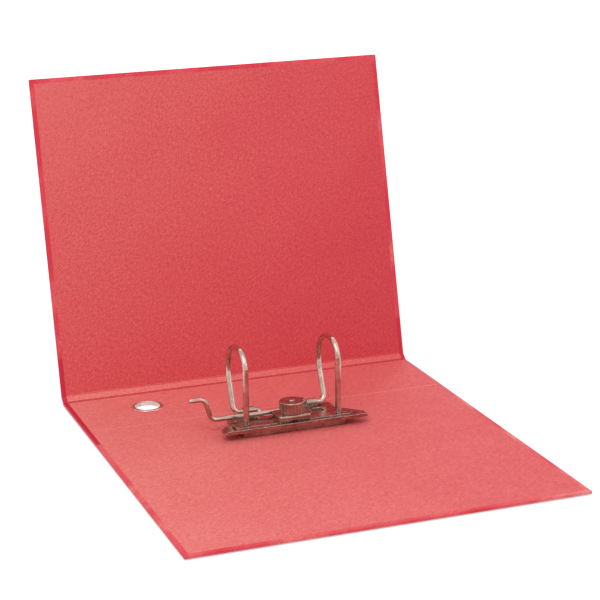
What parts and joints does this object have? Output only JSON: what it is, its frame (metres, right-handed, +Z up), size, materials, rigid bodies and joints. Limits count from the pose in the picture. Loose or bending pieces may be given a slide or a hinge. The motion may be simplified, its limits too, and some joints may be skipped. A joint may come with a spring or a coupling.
{
  "type": "lever arch file",
  "caption": "Lever arch file for A4 paper, standing open: folding boards and hinged spine, with a riveted lever mechanism, arches and compressor bar.",
  "frame": {"origin": "under the middle of the open file, on the surface it lies on", "axes": "+X along the height of the file from its bottom edge to its top edge, +Y from the fore edge of the back cover to the spine and front cover, +Z up"},
  "size_m": [0.318, 0.4199, 0.2711],
  "materials": {
    "board": "matte grey board",
    "cover_paper": "mottled embossed paper",
    "spine_wrap": "satin coated paper",
    "lining": "matte embossed paper",
    "label": "matte",
    "nickel": "bright nickel plate",
    "steel_press": "bright nickel plate, pressed"
  },
  "bodies": {
    "back_cover": {"back_cover_board": "board", "back_cover_paper": "cover_paper", "back_cover_wrap": "spine_wrap", "back_cover_lining": "lining", "base_plate": "steel_press", "base_rivets": "nickel", "lower_post": "nickel", "upper_post": "nickel", "lever_pivot_pin": "nickel"},
    "back_hinge": {"back_hinge_strip": "board", "back_hinge_wrap": "spine_wrap", "back_hinge_lining": "lining"},
    "spine": {"spine_board": "board", "spine_wrap": "spine_wrap", "spine_lining": "lining", "spine_label": "label", "finger_ring": "nickel", "finger_ring_washer": "nickel"},
    "front_hinge": {"front_hinge_strip": "board", "front_hinge_wrap": "spine_wrap", "front_hinge_lining": "lining"},
    "front_cover": {"front_cover_board": "board", "front_cover_paper": "cover_paper", "front_cover_wrap": "spine_wrap", "front_cover_lining": "lining"},
    "arches": {"arch_bail": "nickel"},
    "lever": {"lever": "nickel", "lever_hub": "steel_press", "roller_pin": "nickel"},
    "roller": {"lever_roller": "nickel"},
    "bar": {"compressor_bar": "steel_press", "lower_catch": "steel_press", "upper_catch": "steel_press", "compressor_bridge": "steel_press", "knob_rivet": "nickel"},
    "knob": {"compressor_knob": "steel_press"}
  },
  "joints": [
    {"name": "back_fold_at_spine", "type": "hinge", "parent": "spine", "child": "back_hinge", "pos_m": [0, 0.06947, 0.0018], "axis": [1, 0, 0], "range_deg": [-45, 0]},
    {"name": "back_fold", "type": "hinge", "parent": "back_hinge", "child": "back_cover", "pos_m": [0, 0.06197, 0.0018], "axis": [1, 0, 0], "range_deg": [-45, 0]},
    {"name": "front_fold", "type": "hinge", "parent": "spine", "child": "front_hinge", "pos_m": [0, 0.13947, 0.0018], "axis": [-1, 0, 0], "range_deg": [-6.75, 38.25]},
    {"name": "front_fold_at_cover", "type": "hinge", "parent": "front_hinge", "child": "front_cover", "pos_m": [0, 0.14536, 0.00644], "axis": [-1, 0, 0], "range_deg": [-6.75, 38.25]},
    {"name": "lever_lift", "type": "hinge", "parent": "back_cover", "child": "lever", "pos_m": [0.01505, 0.02245, 0.01823], "axis": [0, 1, 0], "range_deg": [0, 90]},
    {"name": "arches_open", "type": "hinge", "parent": "back_cover", "child": "arches", "pos_m": [0.0005, 0.03675, 0.0116], "axis": [-1, 0, 0], "range_deg": [0, 58]},
    {"name": "roller_spin", "type": "hinge", "parent": "lever", "child": "roller", "pos_m": [0.0101, 0.03005, 0.01328], "axis": [0, 1, 0], "continuous": true},
    {"name": "bar_slide", "type": "slide", "parent": "back_cover", "child": "bar", "axis": [0, 0, 1], "range_m": [0, 0.034]},
    {"name": "knob_turn", "type": "hinge", "parent": "bar", "child": "knob", "pos_m": [0.0005, 0.00777, 0.0192], "axis": [0, 0, 1], "range_deg": [0, 90]}
  ],
  "couplings": [
    {"joint": "back_fold", "follows": "back_fold_at_spine", "ratio": 1},
    {"joint": "front_fold_at_cover", "follows": "front_fold", "ratio": 1},
    {"joint": "arches_open", "follows": "lever_lift", "ratio": 0.64444}
  ]
}
